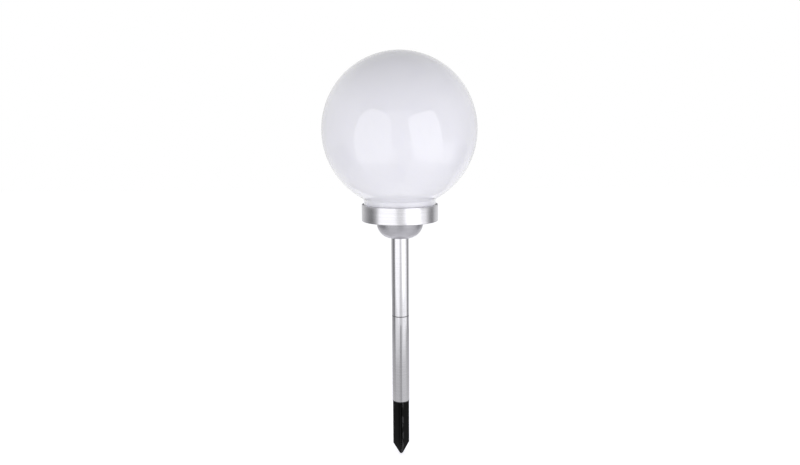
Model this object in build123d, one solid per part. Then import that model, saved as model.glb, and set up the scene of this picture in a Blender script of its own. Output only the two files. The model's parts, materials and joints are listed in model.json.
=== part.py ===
"""Garden globe light on a two-piece pole with a ground spike.

Millimetres, +Z up, front is -Y. The origin is on the lamp's axis at the ground
line, where the lower pole ends and the spike goes into the soil.
Each function below makes one sub-part in its place in the assembled light.
"""

from build123d import *
import math
import os

# ---- Driving dimensions -------------------------------------------------------

# Globe: a blown opal sphere with a straight neck and bayonet lugs inside it
GLOBE_DIAMETER = 200.0
GLOBE_WALL = 2.0
NECK_DIAMETER = 94.0
NECK_FILLET = 2.5
NECK_STAND = 7.1  # from the collar ring's top to where neck and sphere would meet
GASKET_THICKNESS = 1.5
LUG_COUNT = 3
LUG_WIDTH = 8.0
LUG_HEIGHT = 3.0
LUG_REACH = 2.1
LUG_RISE = 4.0  # from the neck's end to the underside of a lug
LOCK_TURN = 20.0  # degrees, clockwise seen from above

# Poles and the plug that joins them
POLE_DIAMETER = 23.5
POLE_WALL = 0.5
POLE_LENGTH = 119.0
POLE_EDGE = 0.15
COUPLER_FLANGE = 0.8
COUPLER_FLANGE_SHY = 0.35  # how far the flange stays inside the pole's face
COUPLER_SPIGOT = 20.0
COUPLER_WALL = 2.0
COUPLER_RIB_COUNT = 6
COUPLER_RIB_WIDTH = 1.6
COUPLER_RIB_RISE = 0.25
SPIGOT_LEAD = 0.8

# Ground spike: four fins round a core
SPIKE_LENGTH = 79.6
SPIKE_SPIGOT = 40.0
SPIKE_FIN = 2.4
SPIKE_CORE_RADIUS = 2.6
SPIKE_POINT_LENGTH = 16.8
SPIKE_TIP_RADIUS = 2.9
SPIKE_TURN = 13.4  # degrees from square to the front
SPIKE_FLANGE = 1.2
SPIKE_END_DISC = 2.0

# Base cup under the head
CUP_DIAMETER = 60.9
CUP_HEIGHT = 23.8
CUP_BOWL_RADIUS = 20.0
CUP_BAND_STEP = 0.5
CUP_WALL = 2.0
CUP_RIB = 1.6
CUP_RIB_COUNT = 6
CUP_RIB_DROP = 2.0
SOCKET_DEPTH = 14.0
SOCKET_STOP = 2.3  # how far the stop reaches over the pole's end
CUP_SCREW_COUNT = 3
CUP_SCREW_CIRCLE = 44.0
CUP_SCREW_REACH = 8.0

# Head housing, with the bayonet upstand, and its collar ring
HOUSING_WALL = 1.8
HOUSING_FLOOR = 2.0
HOUSING_DEPTH = 15.4  # floor to the top of the upstand
UPSTAND_WALL = 4.2
UPSTAND_RIM = 2.2
RING_HEIGHT = 21.6
RING_WALL = 0.5
RING_EDGE = 0.6
RING_HEM = 1.6

# Lamp deck, which carries panel, lamps and battery
DECK_THICKNESS = 2.5
DECK_COAMING = 1.0
SEAL_THICKNESS = 1.2
SEAL_WIDTH = 1.6
DECK_POST_RADIUS = 2.9
DECK_POST_BACK = 2.6  # from the battery well's back to the middle of a side post
DECK_SCREW_REACH = 6.0

# Solar panel: fills the deck between battery well, lamps and the back screw
PANEL_THICKNESS = 2.0
PANEL_POCKET = 1.3
PANEL_WELL_GAP = 3.3
PANEL_SCREW_GAP = 1.3
PANEL_LAMP_GAP = 0.45

# Lamps
LED_RADIUS = 2.5
LED_FLANGE = 0.4
LED_FLANGE_HEIGHT = 1.0
LED_HEIGHT = 7.0
LED_EDGE = 0.5
LED_STAND = 2.5
LED_LEG = 0.5
LED_LEG_PITCH = 2.5
LED_COLLAR_WALL = 0.8
LED_COLLAR_HEIGHT = 1.0
LED_MARGIN = 4.0  # board's edge to a lamp's middle
LED_ANGLES = [6.0, 25.0]  # degrees behind the middle line, the same on both sides

# Battery, its well and its contacts
BATTERY_DIAMETER = 14.2
BATTERY_BODY = 49.2
BATTERY_NUB = 1.2
BATTERY_NUB_RADIUS = 2.75
BATTERY_EDGE = 0.7
WELL_WALL = 1.2
WELL_FLOOR = 1.0
WELL_CORNER = 4.0
WELL_GAP = 1.95  # the well's front corners inside the upstand
CONTACT_STRIP = 0.4
CONTACT_WIDTH = 10.0
CONTACT_HEIGHT = 10.2
CONTACT_SPRING = 3.4
CONTACT_BUTTON = 0.9
CONTACT_BUTTON_RADIUS = 2.5
CONTACT_LEAF_WIDTH = 5.0
CONTACT_TAB = 2.0
CONTACT_TAB_RISE = 3.3  # above the plate's lower edge

# Battery door
DOOR_THICKNESS = 1.6
DOOR_RIB = 0.8
DOOR_RIB_DEPTH = 2.0
DOOR_EDGE = 0.4
DOOR_NOTCH_RADIUS = 5.0
DOOR_NOTCH_DEPTH = 0.8

# Circuit board and what is on it
BOARD_THICKNESS = 1.6
BOARD_STAND = 6.8  # housing floor to the board's underside
BOARD_WELL_GAP = 2.5
BOARD_POST_RADIUS = 2.6
BOARD_POST_X = 18.0
BOARD_POST_INSET = 5.8  # from the board's front edge to the middle of a side post
BOARD_POST_MARGIN = 4.8  # from the board's round edge to the middle of the back post
BOARD_SCREW_REACH = 4.0
CHIP_SIZE = (4.0, 5.0, 1.5)
CHIP_PLACE = (7.0, 9.0)
CHIP_LEG = (1.0, 0.4, 0.8)
CHIP_LEG_ROW = 4
CHIP_LEG_PITCH = 1.27
COIL_RADIUS = 3.2
COIL_WAIST = 2.2
COIL_HEIGHT = 4.0
COIL_CHEEK = 0.8
COIL_PLACE = (-8.0, 8.0)
CAPACITOR_RADIUS = 2.5
CAPACITOR_HEIGHT = 5.2
CAPACITOR_PLACE = (-11.0, 18.0)

# Slide switch under the head, between the cup and the upstand
SWITCH_SIZE = (8.6, 4.0, 4.5)
SWITCH_ANGLE = 67.0  # degrees round from the right towards the back
SWITCH_TRAVEL = 2.0
SWITCH_POCKET = 2.6
KNOB_STEM = (3.0, 1.6)
KNOB_PAD = (5.0, 3.2, 1.3)
KNOB_PAD_EDGE = 0.3
KNOB_RIB_COUNT = 3
KNOB_RIB_PITCH = 1.2
KNOB_RIB = (0.5, 2.4, 0.3)
KNOB_DROP = 0.7  # floor's underside to the top of the finger pad

# Screws and wires
SCREW_RADIUS = 1.25
SCREW_HEAD_RADIUS = 2.6
SCREW_HEAD_HEIGHT = 1.5
PILOT_DEPTH_SPARE = 1.5
WIRE_RADIUS = 0.55
WIRE_SIDES = 6
WIRE_BEND = 1.5
WIRE_ARCH = 1.9  # how high a wire's arch stands above the board, below the lamps
WIRE_HOLE_RADIUS = 3.0
WIRE_PITCH = 3.0
WIRE_Y = 12.0
SWITCH_LEAD = 6.0  # from the switch inwards to the board
BATTERY_LEAD = 3.0  # from the board's front edge inwards

# Clearances
SLIDING = 0.08  # radial, tube on spigot or in socket
PRESSED = 0.03  # radial, coupler held in the lower pole
SEATED = 0.1  # pieces that are fitted together and stay together
LOOSE = 0.3  # pieces that drop into a recess
TURNING = 0.6  # globe neck in the housing
LUG_PLAY = 0.4  # globe lugs in their slots, and the neck over the upstand
LIP_GAP = 0.4  # collar ring's lip round the globe's neck
BATTERY_PLAY = 0.4  # each side of the battery in its well
POST_GAP = 0.6  # deck posts inside the upstand
BOARD_PLAY = 0.7  # circuit board inside the deck posts and the switch's leads
SCREW_HOLE_PLAY = 0.35
PILOT_PLAY = 0.05

# ---- Levels and radii that follow ---------------------------------------------

pole_radius = POLE_DIAMETER / 2
pole_bore = pole_radius - POLE_WALL
spigot_radius = pole_bore - SLIDING
upper_pole_z = POLE_LENGTH + COUPLER_FLANGE

cup_z = upper_pole_z + POLE_LENGTH - SOCKET_DEPTH
cup_radius = CUP_DIAMETER / 2
cup_band_radius = cup_radius + CUP_BAND_STEP
socket_radius = pole_radius + SLIDING
floor_z = cup_z + CUP_HEIGHT
floor_top = floor_z + HOUSING_FLOOR

neck_radius = NECK_DIAMETER / 2
neck_bore = neck_radius - GLOBE_WALL
well_radius = neck_radius + TURNING
housing_radius = well_radius + HOUSING_WALL
ring_radius = housing_radius + SEATED + RING_WALL
ring_z = floor_z - SEATED - RING_WALL
ring_top = ring_z + RING_HEIGHT
housing_top = ring_top - RING_WALL - SEATED

lug_tip = neck_bore - LUG_REACH
lug_angle = math.degrees(LUG_WIDTH / neck_bore)
play_angle = math.degrees(LUG_PLAY / neck_bore)
lug_angles = [90 + 360 / LUG_COUNT * i for i in range(LUG_COUNT)]
upstand_radius = neck_bore - LUG_PLAY
upstand_bore = upstand_radius - UPSTAND_WALL
rebate_radius = upstand_radius - UPSTAND_RIM
upstand_top = floor_top + HOUSING_DEPTH

neck_z = floor_top + GASKET_THICKNESS
lug_z = neck_z + LUG_RISE
globe_radius = GLOBE_DIAMETER / 2
globe_z = ring_top + NECK_STAND + math.sqrt(globe_radius**2 - neck_radius**2)

deck_radius = rebate_radius - LOOSE
deck_z = upstand_top - DECK_THICKNESS
seal_z = deck_z - SEAL_THICKNESS

battery_length = BATTERY_BODY + BATTERY_NUB
contact_gap = CONTACT_STRIP + SEATED / 2
well_length = battery_length + CONTACT_SPRING + CONTACT_BUTTON + 2 * contact_gap
well_width = BATTERY_DIAMETER + 2 * BATTERY_PLAY
well_z = floor_top + LOOSE
well_floor = well_z + WELL_FLOOR
well_top = upstand_top + DECK_COAMING
battery_x = -well_length / 2 + contact_gap + CONTACT_SPRING
battery_z = well_floor + SEATED + BATTERY_DIAMETER / 2
contact_z = well_floor + LOOSE
corner_x = well_length / 2 + WELL_WALL - WELL_CORNER
corner_y = -math.sqrt((upstand_bore - WELL_GAP - WELL_CORNER) ** 2 - corner_x**2)
well_y = corner_y + well_width / 2 + WELL_WALL - WELL_CORNER
well_back = well_y + well_width / 2 + WELL_WALL

deck_post_circle = upstand_bore - DECK_POST_RADIUS - POST_GAP
deck_post_y = well_back + DECK_POST_BACK
deck_post_x = math.sqrt(deck_post_circle**2 - deck_post_y**2)
deck_post_places = [(deck_post_x, deck_post_y), (-deck_post_x, deck_post_y), (0, deck_post_circle)]

board_z = floor_top + BOARD_STAND
board_top = board_z + BOARD_THICKNESS
switch_radius = (cup_band_radius + upstand_bore) / 2
board_room = min(deck_post_circle - DECK_POST_RADIUS, switch_radius - WIRE_RADIUS)
board_radius = board_room - BOARD_PLAY
board_front = well_back + BOARD_WELL_GAP
board_post_y = board_front + BOARD_POST_INSET
board_post_places = [(BOARD_POST_X, board_post_y), (-BOARD_POST_X, board_post_y)]
board_post_places.append((0, board_radius - BOARD_POST_MARGIN))

led_z = board_top + LED_STAND
led_circle = board_radius - LED_MARGIN
led_hole = LED_RADIUS + SEATED
led_collar = led_hole + LED_COLLAR_WALL
led_angles = LED_ANGLES + [180 - angle for angle in LED_ANGLES]

panel_side = led_circle * math.cos(math.radians(max(LED_ANGLES))) - led_collar - PANEL_LAMP_GAP
panel_front = well_back + PANEL_WELL_GAP
panel_back = deck_post_circle - SCREW_HEAD_RADIUS - PANEL_SCREW_GAP
panel_width = 2 * panel_side - LOOSE
panel_length = panel_back - panel_front
panel_y = (panel_front + panel_back) / 2
panel_z = upstand_top - PANEL_POCKET

arch_z = board_top + WIRE_ARCH


# ---- Helpers ------------------------------------------------------------------


def turned(profile):
    """Solid of revolution about Z of a face drawn with x as radius, y as height."""
    return revolve(Plane.XZ * profile, axis=Axis.Z)


def outline(*points):
    """Face inside straight lines through the points."""
    return make_face(Polyline(*points, close=True))


def disc(radius, z, height, place=(0.0, 0.0)):
    """Upright cylinder standing on height z."""
    bottom = (Align.CENTER, Align.CENTER, Align.MIN)
    return Pos(place[0], place[1], z) * Cylinder(radius, height, align=bottom)


def block(size, z, place=(0.0, 0.0)):
    """Upright box standing on height z."""
    bottom = (Align.CENTER, Align.CENTER, Align.MIN)
    return Pos(place[0], place[1], z) * Box(*size, align=bottom)


def band(inner, outer, z, height):
    """Flat-ended ring about the lamp's axis."""
    return turned(Pos((inner + outer) / 2, z + height / 2) * Rectangle(outer - inner, height))


def sector(inner, outer, z, height, start, sweep):
    """Part of such a ring, from one angle counterclockwise through another."""
    section = Pos((inner + outer) / 2, z + height / 2) * Rectangle(outer - inner, height)
    return Rot(0, 0, start) * revolve(Plane.XZ * section, axis=Axis.Z, revolution_arc=sweep)


def around(radius, angles):
    """Places on a circle about the lamp's axis."""
    return [
        (radius * math.cos(math.radians(a)), radius * math.sin(math.radians(a))) for a in angles
    ]


def rounded_block(length, width, corner, z, height, place=(0.0, 0.0)):
    """Upright plate with rounded corners."""
    return extrude(Pos(place[0], place[1], z) * RectangleRounded(length, width, corner), height)


def well_block(inset, z, height):
    """Plate that follows the battery well's outer wall, drawn in by an inset."""
    length = well_length + 2 * (WELL_WALL - inset)
    width = well_width + 2 * (WELL_WALL - inset)
    return rounded_block(length, width, WELL_CORNER - inset, z, height, (0, well_y))


def at_switch(shape):
    """Shape drawn about the switch's middle with its travel along X, put in place."""
    return Rot(0, 0, SWITCH_ANGLE - 90) * Pos(0, switch_radius, 0) * shape


def screw(place, seat_z, reach, countersunk=False):
    """Screw whose head stands on, or is sunk into, the face at seat_z."""
    shank = disc(SCREW_RADIUS, seat_z - reach, reach, place)
    low, wide, high = (seat_z, SCREW_HEAD_RADIUS, seat_z + SCREW_HEAD_HEIGHT)
    if countersunk:
        low, high = seat_z - SCREW_HEAD_HEIGHT, seat_z
        head = outline((0, low), (SCREW_RADIUS, low), (wide, high), (0, high))
    else:
        crown = wide - SCREW_HEAD_HEIGHT / 2
        head = outline((0, low), (wide, low), (crown, high), (0, high))
    return shank + Pos(place[0], place[1], 0) * turned(head)


def wire(*corners):
    """Stranded lead through square corners, each bent to the same radius."""
    if len(corners) == 2:
        path = Line(*corners)
    else:
        path = FilletPolyline(*corners, radius=WIRE_BEND)
    section = RegularPolygon(WIRE_RADIUS, WIRE_SIDES)
    return sweep(Plane(origin=path @ 0, z_dir=path % 0) * section, path=path)


# ---- Spike and poles ----------------------------------------------------------


def ground_spike():
    """Four-finned spike: point in the soil, spigot up inside the lower pole."""
    point_z = SPIKE_POINT_LENGTH - SPIKE_LENGTH
    tip_z = SPIKE_TIP_RADIUS - SPIKE_LENGTH
    lean = math.atan2(spigot_radius - SPIKE_TIP_RADIUS, SPIKE_POINT_LENGTH - SPIKE_TIP_RADIUS)
    tangent = (SPIKE_TIP_RADIUS * math.cos(lean), tip_z - SPIKE_TIP_RADIUS * math.sin(lean))
    middle = math.radians(-90) / 2 - lean / 2
    halfway = (SPIKE_TIP_RADIUS * math.cos(middle), tip_z + SPIKE_TIP_RADIUS * math.sin(middle))
    sides = Polyline(
        tangent,
        (spigot_radius, point_z),
        (spigot_radius, SPIKE_SPIGOT - SPIGOT_LEAD),
        (spigot_radius - SPIGOT_LEAD, SPIKE_SPIGOT),
        (0, SPIKE_SPIGOT),
        (0, -SPIKE_LENGTH),
    )
    nose = ThreePointArc((0, -SPIKE_LENGTH), halfway, tangent)
    envelope = turned(make_face([*sides.edges(), nose]))

    height = SPIKE_LENGTH + SPIKE_SPIGOT
    fins = block((2 * pole_radius, SPIKE_FIN, height), -SPIKE_LENGTH)
    fins += block((SPIKE_FIN, 2 * pole_radius, height), -SPIKE_LENGTH)
    fins += disc(SPIKE_CORE_RADIUS, -SPIKE_LENGTH, height)
    fins += disc(pole_radius, SPIKE_SPIGOT - SPIKE_END_DISC, SPIKE_END_DISC)
    stop = disc(pole_radius - COUPLER_FLANGE_SHY / 2, -SPIKE_FLANGE, SPIKE_FLANGE)
    return Rot(0, 0, SPIKE_TURN) * (envelope & fins) + stop


def pole(z):
    """Thin steel tube with its edges broken."""
    top = z + POLE_LENGTH
    return turned(
        outline(
            (pole_bore, z),
            (pole_radius - POLE_EDGE, z),
            (pole_radius, z + POLE_EDGE),
            (pole_radius, top - POLE_EDGE),
            (pole_radius - POLE_EDGE, top),
            (pole_bore, top),
        )
    )


def pole_coupler():
    """Hollow ribbed plug: pressed into the lower pole, a spigot for the upper one."""
    low = POLE_LENGTH - COUPLER_SPIGOT
    high = upper_pole_z + COUPLER_SPIGOT
    pressed = pole_bore - PRESSED
    flange = pole_radius - COUPLER_FLANGE_SHY
    inside = spigot_radius - COUPLER_WALL
    shell = turned(
        outline(
            (inside, low),
            (pressed - SPIGOT_LEAD, low),
            (pressed, low + SPIGOT_LEAD),
            (pressed, POLE_LENGTH),
            (flange, POLE_LENGTH),
            (flange, upper_pole_z),
            (spigot_radius, upper_pole_z),
            (spigot_radius, high - SPIGOT_LEAD),
            (spigot_radius - SPIGOT_LEAD, high),
            (inside, high),
        )
    )
    rib_angle = math.degrees(COUPLER_RIB_WIDTH / spigot_radius)
    pitch = 360 / COUPLER_RIB_COUNT
    floor = spigot_radius - COUPLER_RIB_RISE
    for i in range(COUPLER_RIB_COUNT):
        start = pitch * i + rib_angle / 2
        sweep = pitch - rib_angle
        shell -= sector(floor, pole_radius, low, COUPLER_SPIGOT, start, sweep)
        shell -= sector(floor, pole_radius, upper_pole_z, COUPLER_SPIGOT, start, sweep)
    web = disc(spigot_radius - COUPLER_WALL / 2, POLE_LENGTH - COUPLER_WALL / 2, COUPLER_WALL)
    return shell + web


# ---- Base cup -----------------------------------------------------------------


def on_bowl(inset, angle):
    """Point on the bowl's arc, drawn in by an inset, at an angle below level."""
    turn = math.radians(angle)
    radius = CUP_BOWL_RADIUS - inset
    reach = cup_radius - CUP_BOWL_RADIUS + radius * math.cos(turn)
    return reach, cup_z + CUP_BOWL_RADIUS - radius * math.sin(turn)


def cup_outside():
    """The cup's outer form, filled: a bowl with a slightly wider band above it."""
    side, middle, lowest = (on_bowl(0, angle) for angle in (0, 45, 90))
    sides = Polyline(
        side,
        (cup_band_radius, side[1] + CUP_BAND_STEP),
        (cup_band_radius, floor_z),
        (0, floor_z),
        (0, lowest[1]),
        lowest,
    )
    return turned(make_face([ThreePointArc(lowest, middle, side), *sides.edges()]))


def cup_inside():
    """The moulding core: straight drafts that leave at least the wall."""
    side, middle, lowest = (on_bowl(CUP_WALL, angle) for angle in (0, 45, 90))
    inner_band = cup_band_radius - CUP_WALL
    return turned(
        outline(
            (0, lowest[1]),
            lowest,
            middle,
            side,
            (inner_band, side[1] + CUP_BAND_STEP),
            (inner_band, floor_z + 1),
            (0, floor_z + 1),
        )
    )


def base_cup():
    """Moulded cup: bowl-shaped shell, pole socket, ribs and screw bosses."""
    socket_outer = socket_radius + CUP_WALL
    filling = disc(socket_outer, cup_z, CUP_HEIGHT)
    rib_size = (cup_radius, CUP_RIB, CUP_HEIGHT - CUP_RIB_DROP)
    for i in range(CUP_RIB_COUNT):
        rib = block(rib_size, cup_z, (cup_radius / 2, 0))
        filling += Rot(0, 0, 360 / CUP_RIB_COUNT * (i + 0.5)) * rib
    bosses = around(CUP_SCREW_CIRCLE / 2, cup_screw_angles())
    for place in bosses:
        filling += disc(SCREW_HEAD_RADIUS, cup_z, CUP_HEIGHT, place)
    outside = cup_outside()
    cup = outside - cup_inside() + (filling & outside)
    cup -= disc(socket_radius, cup_z - 1, SOCKET_DEPTH + 1)
    cup -= disc(socket_radius - SOCKET_STOP, cup_z, CUP_HEIGHT + 1)
    depth = CUP_SCREW_REACH - HOUSING_FLOOR + PILOT_DEPTH_SPARE
    for place in bosses:
        cup -= disc(SCREW_RADIUS + PILOT_PLAY, floor_z - depth, depth + 1, place)
    return cup


def cup_screw_angles():
    """Screw places round the cup, with one screw at the back."""
    return [90 + 360 / CUP_SCREW_COUNT * i for i in range(CUP_SCREW_COUNT)]


def cup_screws():
    """Countersunk screws through the housing's floor into the cup."""
    places = around(CUP_SCREW_CIRCLE / 2, cup_screw_angles())
    return [screw(place, floor_top, CUP_SCREW_REACH, countersunk=True) for place in places]


# ---- Head housing and collar ring ---------------------------------------------


def bayonet_slot(angle):
    """J-slot for one lug: entry from above, then a run in the locking direction."""
    depth_radius = lug_tip - LUG_PLAY
    width = lug_angle + 2 * play_angle
    low = lug_z - LOOSE
    outer = upstand_radius + 1
    run = LUG_HEIGHT + 2 * LOOSE
    entry = sector(depth_radius, outer, low, upstand_top - low + 1, angle - width / 2, width)
    start = angle - width / 2 - LOCK_TURN
    return entry + sector(depth_radius, outer, low, run, start, width + LOCK_TURN)


def head_housing():
    """Round housing: floor, outer wall, bayonet upstand, posts and bosses."""
    edge = RING_WALL
    body = turned(
        outline(
            (0, floor_z),
            (housing_radius, floor_z),
            (housing_radius, housing_top - edge),
            (housing_radius - edge, housing_top),
            (well_radius, housing_top),
            (well_radius, floor_top),
            (upstand_radius, floor_top),
            (upstand_radius, upstand_top),
            (rebate_radius, upstand_top),
            (rebate_radius, seal_z),
            (upstand_bore, seal_z),
            (upstand_bore, floor_top),
            (0, floor_top),
        )
    )
    for angle in lug_angles:
        body -= bayonet_slot(angle)
    for place in deck_post_places:
        body += disc(DECK_POST_RADIUS, floor_top, deck_z - floor_top, place)
        body -= pilot_hole(place, deck_z, DECK_SCREW_REACH - DECK_THICKNESS)
    for place in board_post_places:
        body += disc(BOARD_POST_RADIUS, floor_top, BOARD_STAND, place)
        body -= pilot_hole(place, board_z, BOARD_SCREW_REACH - BOARD_THICKNESS)
    for place in around(CUP_SCREW_CIRCLE / 2, cup_screw_angles()):
        body -= countersink(place)
    slot_length = KNOB_STEM[0] + SWITCH_TRAVEL + 2 * LOOSE
    slot = (slot_length, KNOB_STEM[1] + 2 * LOOSE, HOUSING_FLOOR + 2)
    return body - at_switch(block(slot, floor_z - 1))


def pilot_hole(place, top_z, reach):
    """Blind hole for a screw that reaches down from a face."""
    depth = reach + PILOT_DEPTH_SPARE
    return disc(SCREW_RADIUS + PILOT_PLAY, top_z - depth, depth + 1, place)


def countersink(place):
    """Through hole in the floor with a cone for a flush screw head."""
    hole = SCREW_RADIUS + SCREW_HOLE_PLAY
    wide = SCREW_HEAD_RADIUS + SEATED
    cone_z = floor_top - SCREW_HEAD_HEIGHT - SEATED
    section = outline(
        (0, floor_z - 1),
        (hole, floor_z - 1),
        (hole, cone_z),
        (wide, floor_top),
        (wide, floor_top + 1),
        (0, floor_top + 1),
    )
    return Pos(place[0], place[1], 0) * turned(section)


def collar_ring():
    """Spun steel ring: broken edges, a lip over the housing and a hem under it."""
    inner = ring_radius - RING_WALL
    lip = neck_radius + LIP_GAP
    hem = ring_radius - RING_HEM
    return turned(
        outline(
            (ring_radius, ring_z + RING_EDGE),
            (ring_radius, ring_top - RING_EDGE),
            (ring_radius - RING_EDGE, ring_top),
            (lip, ring_top),
            (lip, ring_top - RING_WALL),
            (inner, ring_top - RING_WALL),
            (inner, ring_z + RING_WALL),
            (hem, ring_z + RING_WALL),
            (hem, ring_z),
            (ring_radius - RING_EDGE, ring_z),
        )
    )


# ---- Globe --------------------------------------------------------------------


def globe():
    """Opal sphere and neck of one even wall, with the bayonet lugs inside."""
    centre = Vector(0, globe_z)
    reach = globe_radius + NECK_FILLET
    hollow = Vector(neck_radius + NECK_FILLET, 0)
    hollow.Y = globe_z - math.sqrt(reach**2 - hollow.X**2)
    towards = (hollow - centre).normalized()
    outer = wall_edges(centre, hollow, towards, 0)
    inner = wall_edges(centre, hollow, towards, GLOBE_WALL)
    rim = Line((neck_radius, neck_z), (neck_bore, neck_z))
    crown = Line((0, globe_z + globe_radius), (0, globe_z + globe_radius - GLOBE_WALL))
    shell = turned(make_face([*outer, rim, *inner, crown]))
    root = GLOBE_WALL / 4
    for angle in lug_angles:
        start = angle - lug_angle / 2
        shell += sector(lug_tip, neck_bore + root, lug_z, LUG_HEIGHT, start, lug_angle)
    return shell


def wall_edges(centre, hollow, towards, inset):
    """One face of the globe's wall: sphere, hollow fillet and straight neck."""
    radius = globe_radius - inset
    fillet_radius = NECK_FILLET + inset
    neck = neck_radius - inset
    top = centre + Vector(0, radius)
    side = centre + (towards + Vector(0, 1)).normalized() * radius
    meet = centre + towards * radius
    end = Vector(neck, hollow.Y)
    back = (Vector(-1, 0) - towards).normalized() * fillet_radius
    return [
        ThreePointArc(top, side, meet),
        ThreePointArc(meet, hollow + back, end),
        Line(end, (neck, neck_z)),
    ]


def neck_gasket():
    """Flat rubber ring between the globe's neck and the housing's floor."""
    return band(neck_bore + SEATED, neck_radius + SEATED, floor_top, GASKET_THICKNESS)


# ---- Lamp deck ----------------------------------------------------------------


def lamp_deck():
    """White disc over the electronics: panel pocket, lamp collars and battery well."""
    deck = disc(deck_radius, deck_z, DECK_THICKNESS)
    deck += well_block(0, well_z, well_top - well_z)
    deck -= well_block(WELL_WALL, well_floor, well_top - well_floor + 1)
    pocket = (panel_width + LOOSE, panel_length + LOOSE, PANEL_POCKET + 1)
    deck -= block(pocket, panel_z, (0, panel_y))
    deck -= disc(WIRE_HOLE_RADIUS, deck_z - 1, DECK_THICKNESS + 2, (0, WIRE_Y))
    collar_top = upstand_top + LED_COLLAR_HEIGHT
    for place in around(led_circle, led_angles):
        deck += disc(led_collar, deck_z, collar_top - deck_z, place)
        deck -= disc(led_hole, deck_z - 1, collar_top - deck_z + 2, place)
    for place in deck_post_places:
        deck -= disc(SCREW_RADIUS + SCREW_HOLE_PLAY, deck_z - 1, DECK_THICKNESS + 2, place)
    for side in (1, -1):
        x, y, z = contact_tab_place(side)
        window = (CONTACT_STRIP + 2 * SEATED, 2 * WELL_WALL + WELL_CORNER, CONTACT_TAB + 2 * SEATED)
        deck -= block(window, z - SEATED, (x, y - WELL_WALL))
    return deck


def deck_seal():
    """Flat rubber ring in the upstand's rebate, under the deck's edge."""
    inner = rebate_radius - SEATED - SEAL_WIDTH
    return band(inner, rebate_radius - SEATED, seal_z, SEAL_THICKNESS)


def deck_screws():
    """Pan-head screws that hold the deck down on its posts."""
    return [screw(place, upstand_top, DECK_SCREW_REACH) for place in deck_post_places]


def solar_panel():
    """Encapsulated panel bedded in the deck's pocket."""
    return block((panel_width, panel_length, PANEL_THICKNESS), panel_z, (0, panel_y))


def leds():
    """Wide-angle lamps with flat tops on the board, standing up through the deck."""
    flange = LED_RADIUS + LED_FLANGE
    lens = turned(
        outline(
            (0, 0),
            (flange, 0),
            (flange, LED_FLANGE_HEIGHT),
            (LED_RADIUS, LED_FLANGE_HEIGHT),
            (LED_RADIUS, LED_HEIGHT - LED_EDGE),
            (LED_RADIUS - LED_EDGE, LED_HEIGHT),
            (0, LED_HEIGHT),
        )
    )
    lamps = []
    for x, y in around(led_circle, led_angles):
        lamp = Pos(x, y, led_z) * lens
        for side in (1, -1):
            place = (x, y + side * LED_LEG_PITCH / 2)
            lamp += block((LED_LEG, LED_LEG, LED_STAND), board_top, place)
        lamps.append(lamp)
    return lamps


# ---- Battery and contacts -----------------------------------------------------


def battery():
    """Round rechargeable cell lying in the well, positive end to the right."""
    radius = BATTERY_DIAMETER / 2
    profile = outline(
        (0, 0),
        (radius - BATTERY_EDGE, 0),
        (radius, BATTERY_EDGE),
        (radius, BATTERY_BODY - BATTERY_EDGE),
        (radius - BATTERY_EDGE, BATTERY_BODY),
        (BATTERY_NUB_RADIUS, BATTERY_BODY),
        (BATTERY_NUB_RADIUS, battery_length),
        (0, battery_length),
    )
    return Pos(battery_x, well_y, battery_z) * Rot(0, 90, 0) * turned(profile)


def contact_tab_place(side):
    """Middle of a solder tab's foot, just behind the well's wall."""
    x = side * (well_length / 2 - contact_gap + CONTACT_STRIP / 2)
    y = well_y + well_width / 2 + WELL_WALL
    return x, y, contact_z + CONTACT_TAB_RISE


def contact_plate(side):
    """Spring-steel plate on an end wall of the well, with its solder tab."""
    x, tab_y, tab_z = contact_tab_place(side)
    plate = block((CONTACT_STRIP, CONTACT_WIDTH, CONTACT_HEIGHT), contact_z, (x, well_y))
    start = well_y + CONTACT_WIDTH / 2 - CONTACT_STRIP
    end = tab_y + CONTACT_TAB
    tab = (CONTACT_STRIP, end - start, CONTACT_TAB)
    return plate + block(tab, tab_z, (x, (start + end) / 2))


def positive_contact():
    """Plate with a raised button that meets the cell's nub."""
    plate = contact_plate(1)
    face_x = well_length / 2 - contact_gap
    reach = CONTACT_BUTTON - SEATED / 2
    button = Cylinder(CONTACT_BUTTON_RADIUS, reach)
    return plate + Pos(face_x - reach / 2, well_y, battery_z) * Rot(0, 90, 0) * button


def negative_contact():
    """Plate with a bowed leaf that presses on the cell's flat end."""
    wall_x = -well_length / 2 + contact_gap - CONTACT_STRIP / 2
    foot = contact_z + CONTACT_STRIP
    top = contact_z + CONTACT_HEIGHT - CONTACT_STRIP
    crest_x = battery_x - SEATED / 2 - CONTACT_STRIP / 2
    leaf = ThreePointArc((wall_x, top), (crest_x, (foot + top) / 2), (wall_x, foot))
    strip = extrude(Plane.XZ * trace(leaf, CONTACT_STRIP), CONTACT_LEAF_WIDTH / 2, both=True)
    return contact_plate(-1) + Pos(0, well_y, 0) * strip


def battery_door():
    """Lid on the well's coaming, with a locating rib and a thumb recess."""
    lid = well_block(0, well_top, DOOR_THICKNESS)
    lid = chamfer(lid.faces().sort_by(Axis.Z)[-1].edges(), DOOR_EDGE)
    inset = WELL_WALL + LOOSE / 2
    rib = well_block(inset, well_top - DOOR_RIB_DEPTH, DOOR_RIB_DEPTH)
    rib -= well_block(inset + DOOR_RIB, well_top - DOOR_RIB_DEPTH, DOOR_RIB_DEPTH)
    end_x = well_length / 2 + WELL_WALL - DOOR_NOTCH_RADIUS / 2
    top = well_top + DOOR_THICKNESS
    thumb = disc(DOOR_NOTCH_RADIUS, top - DOOR_NOTCH_DEPTH, DOOR_NOTCH_DEPTH + 1, (end_x, well_y))
    return lid - thumb + rib


# ---- Electronics --------------------------------------------------------------


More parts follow.
